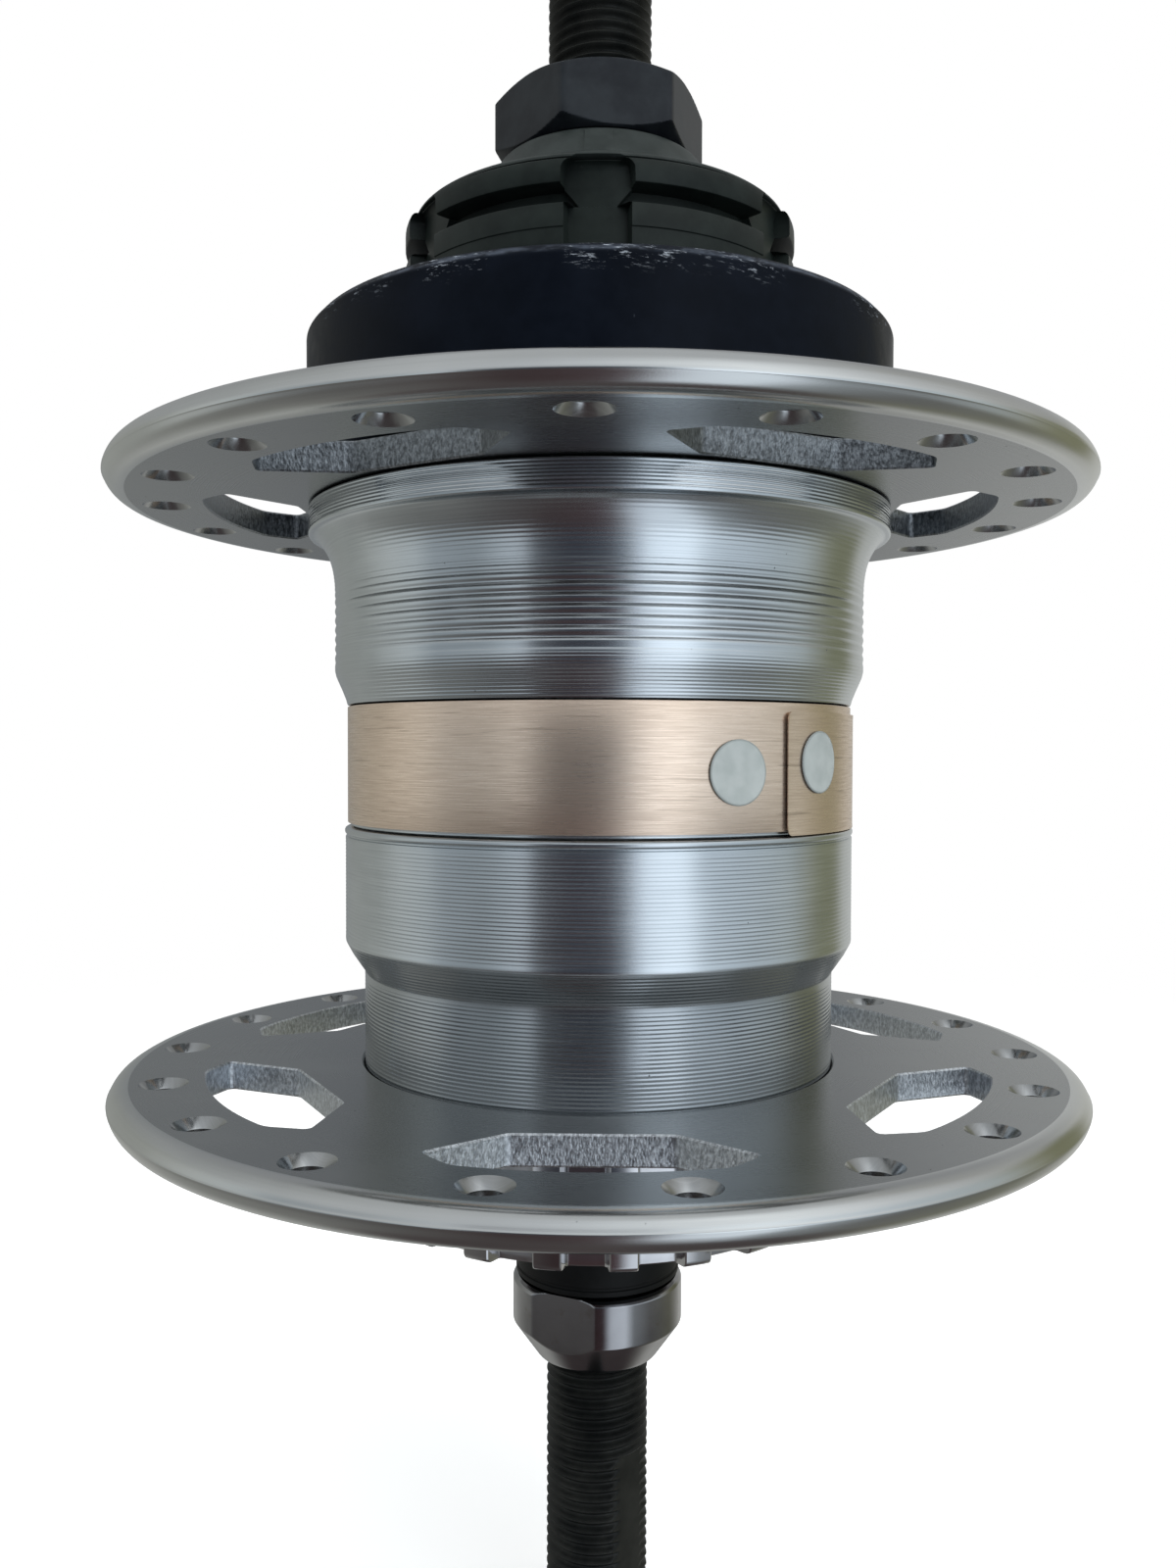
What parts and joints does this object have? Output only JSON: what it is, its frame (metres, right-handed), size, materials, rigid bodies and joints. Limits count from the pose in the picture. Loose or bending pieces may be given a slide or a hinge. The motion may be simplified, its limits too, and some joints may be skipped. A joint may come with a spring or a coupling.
{
  "type": "bicycle hub gear",
  "caption": "Internally geared rear bicycle hub: spoked shell turned by a driver through a planetary gear on a fixed hollow axle, shifted by a push rod.",
  "frame": {"origin": "on the axle axis, half way between the outer face of the right lock nut and the outer face of the left cone", "axes": "+Z along the axle towards the drive side, -Y towards the side seen in the picture"},
  "size_m": [0.09, 0.09, 0.1795],
  "materials": {
    "black_steel": "satin black oxide",
    "gear_steel": "machined, oiled",
    "spring_steel": "drawn wire",
    "chrome": "polished",
    "anodised_aluminium": "satin silver",
    "bearing_steel": "ground",
    "black_plastic": "satin",
    "rubber": "matte",
    "copper_foil": "brushed copper-coloured foil",
    "paper": "smooth paper"
  },
  "bodies": {
    "axle": {"axle": "black_steel", "sun_gear": "gear_steel", "right_cone": "bearing_steel", "right_dust_seal": "rubber", "right_lock_washer": "black_steel", "right_lock_nut": "black_steel", "left_cone": "chrome", "left_cone_seal": "rubber", "clutch_spring": "spring_steel"},
    "push_rod": {"push_rod": "spring_steel", "axle_key": "gear_steel"},
    "driver": {"driver": "black_steel", "driver_dust_cap": "black_plastic"},
    "clutch": {"clutch": "gear_steel"},
    "ring_gear": {"ring_gear": "gear_steel", "ring_pawl_pin_1": "spring_steel", "ring_pawl_pin_2": "spring_steel", "ring_pawl_pin_3": "spring_steel"},
    "ring_pawl_1": {"ring_pawl_1": "gear_steel"},
    "ring_pawl_2": {"ring_pawl_2": "gear_steel"},
    "ring_pawl_3": {"ring_pawl_3": "gear_steel"},
    "planet_cage": {"planet_cage": "gear_steel", "cage_pawl_carrier": "gear_steel", "planet_pin_1": "spring_steel", "planet_pin_2": "spring_steel", "planet_pin_3": "spring_steel", "planet_pin_4": "spring_steel", "cage_pawl_pin_1": "spring_steel", "cage_pawl_pin_2": "spring_steel", "cage_pawl_pin_3": "spring_steel"},
    "planet_gear_1": {"planet_gear_1": "gear_steel"},
    "planet_gear_2": {"planet_gear_2": "gear_steel"},
    "planet_gear_3": {"planet_gear_3": "gear_steel"},
    "planet_gear_4": {"planet_gear_4": "gear_steel"},
    "cage_pawl_1": {"cage_pawl_1": "gear_steel"},
    "cage_pawl_2": {"cage_pawl_2": "gear_steel"},
    "cage_pawl_3": {"cage_pawl_3": "gear_steel"},
    "left_ball_retainer": {"left_ball_retainer": "bearing_steel"},
    "main_ball_retainer": {"main_ball_retainer": "bearing_steel"},
    "right_ball_retainer": {"right_ball_retainer": "bearing_steel"},
    "shell": {"hub_shell": "anodised_aluminium", "flange_right": "anodised_aluminium", "flange_left": "anodised_aluminium", "right_ball_cup": "bearing_steel", "driver_oil_seal": "rubber", "right_dust_ring": "black_plastic", "left_ratchet_ring": "bearing_steel", "left_ball_cup": "chrome", "label_band": "copper_foil", "label_lap": "copper_foil", "paper_dot_1": "paper", "paper_dot_2": "paper"}
  },
  "joints": [
    {"name": "driver_spin", "type": "hinge", "parent": "axle", "child": "driver", "pos_m": [0, 0, 0], "axis": [0, 0, 1], "continuous": true},
    {"name": "ring_gear_spin", "type": "hinge", "parent": "axle", "child": "ring_gear", "pos_m": [0, 0, 0], "axis": [0, 0, 1], "continuous": true},
    {"name": "planet_cage_spin", "type": "hinge", "parent": "axle", "child": "planet_cage", "pos_m": [0, 0, 0], "axis": [0, 0, 1], "continuous": true},
    {"name": "shell_spin", "type": "hinge", "parent": "axle", "child": "shell", "pos_m": [0, 0, 0], "axis": [0, 0, 1], "continuous": true},
    {"name": "push_rod_travel", "type": "slide", "parent": "axle", "child": "push_rod", "axis": [0, 0, -1], "range_m": [0, 0.0068], "stiffness_N_per_m": 1500, "springref_m": -0.004, "deforming": ["clutch_spring"]},
    {"name": "clutch_slide", "type": "slide", "parent": "driver", "child": "clutch", "axis": [0, 0, -1], "range_m": [0, 0.0068]},
    {"name": "planet_gear_1_spin", "type": "hinge", "parent": "planet_cage", "child": "planet_gear_1", "pos_m": [0.01312, 0, 0], "axis": [0, 0, 1], "continuous": true},
    {"name": "planet_gear_2_spin", "type": "hinge", "parent": "planet_cage", "child": "planet_gear_2", "pos_m": [0, 0.01312, 0], "axis": [0, 0, 1], "continuous": true},
    {"name": "planet_gear_3_spin", "type": "hinge", "parent": "planet_cage", "child": "planet_gear_3", "pos_m": [-0.01312, 0, 0], "axis": [0, 0, 1], "continuous": true},
    {"name": "planet_gear_4_spin", "type": "hinge", "parent": "planet_cage", "child": "planet_gear_4", "pos_m": [0, -0.01312, 0], "axis": [0, 0, 1], "continuous": true},
    {"name": "ring_pawl_1_swing", "type": "hinge", "parent": "ring_gear", "child": "ring_pawl_1", "pos_m": [0.0169, 0, 0], "axis": [0, 0, 1], "range_deg": [0, 18]},
    {"name": "ring_pawl_2_swing", "type": "hinge", "parent": "ring_gear", "child": "ring_pawl_2", "pos_m": [-0.00845, 0.01464, 0], "axis": [0, 0, 1], "range_deg": [0, 18]},
    {"name": "ring_pawl_3_swing", "type": "hinge", "parent": "ring_gear", "child": "ring_pawl_3", "pos_m": [-0.00845, -0.01464, 0], "axis": [0, 0, 1], "range_deg": [0, 18]},
    {"name": "cage_pawl_1_swing", "type": "hinge", "parent": "planet_cage", "child": "cage_pawl_1", "pos_m": [0.0073, 0.01264, 0], "axis": [0, 0, 1], "range_deg": [-18, 0], "stiffness_Nm_per_rad": 0.02, "springref_deg": 11.46},
    {"name": "cage_pawl_2_swing", "type": "hinge", "parent": "planet_cage", "child": "cage_pawl_2", "pos_m": [-0.0146, 0, 0], "axis": [0, 0, 1], "range_deg": [-18, 0]},
    {"name": "cage_pawl_3_swing", "type": "hinge", "parent": "planet_cage", "child": "cage_pawl_3", "pos_m": [0.0073, -0.01264, 0], "axis": [0, 0, 1], "range_deg": [-18, 0]},
    {"name": "left_ball_retainer_spin", "type": "hinge", "parent": "axle", "child": "left_ball_retainer", "pos_m": [0, 0, 0], "axis": [0, 0, 1], "continuous": true},
    {"name": "main_ball_retainer_spin", "type": "hinge", "parent": "axle", "child": "main_ball_retainer", "pos_m": [0, 0, 0], "axis": [0, 0, 1], "continuous": true},
    {"name": "right_ball_retainer_spin", "type": "hinge", "parent": "axle", "child": "right_ball_retainer", "pos_m": [0, 0, 0], "axis": [0, 0, 1], "continuous": true}
  ],
  "couplings": [
    {"joint": "ring_gear_spin", "follows": "driver_spin", "ratio": 1},
    {"joint": "planet_cage_spin", "follows": "driver_spin", "ratio": 0.73333},
    {"joint": "shell_spin", "follows": "driver_spin", "ratio": 0.73333},
    {"joint": "clutch_slide", "follows": "push_rod_travel", "ratio": 1},
    {"joint": "planet_gear_1_spin", "follows": "driver_spin", "ratio": 0.8381},
    {"joint": "planet_gear_2_spin", "follows": "driver_spin", "ratio": 0.8381},
    {"joint": "planet_gear_3_spin", "follows": "driver_spin", "ratio": 0.8381},
    {"joint": "planet_gear_4_spin", "follows": "driver_spin", "ratio": 0.8381},
    {"joint": "ring_pawl_1_swing", "follows": "push_rod_travel", "rad_per_m": 46},
    {"joint": "ring_pawl_2_swing", "follows": "push_rod_travel", "rad_per_m": 46},
    {"joint": "ring_pawl_3_swing", "follows": "push_rod_travel", "rad_per_m": 46},
    {"joint": "cage_pawl_2_swing", "follows": "cage_pawl_1_swing", "ratio": 1},
    {"joint": "cage_pawl_3_swing", "follows": "cage_pawl_1_swing", "ratio": 1},
    {"joint": "left_ball_retainer_spin", "follows": "driver_spin", "ratio": 0.438},
    {"joint": "main_ball_retainer_spin", "follows": "driver_spin", "ratio": 0.854},
    {"joint": "right_ball_retainer_spin", "follows": "driver_spin", "ratio": 0.582}
  ]
}
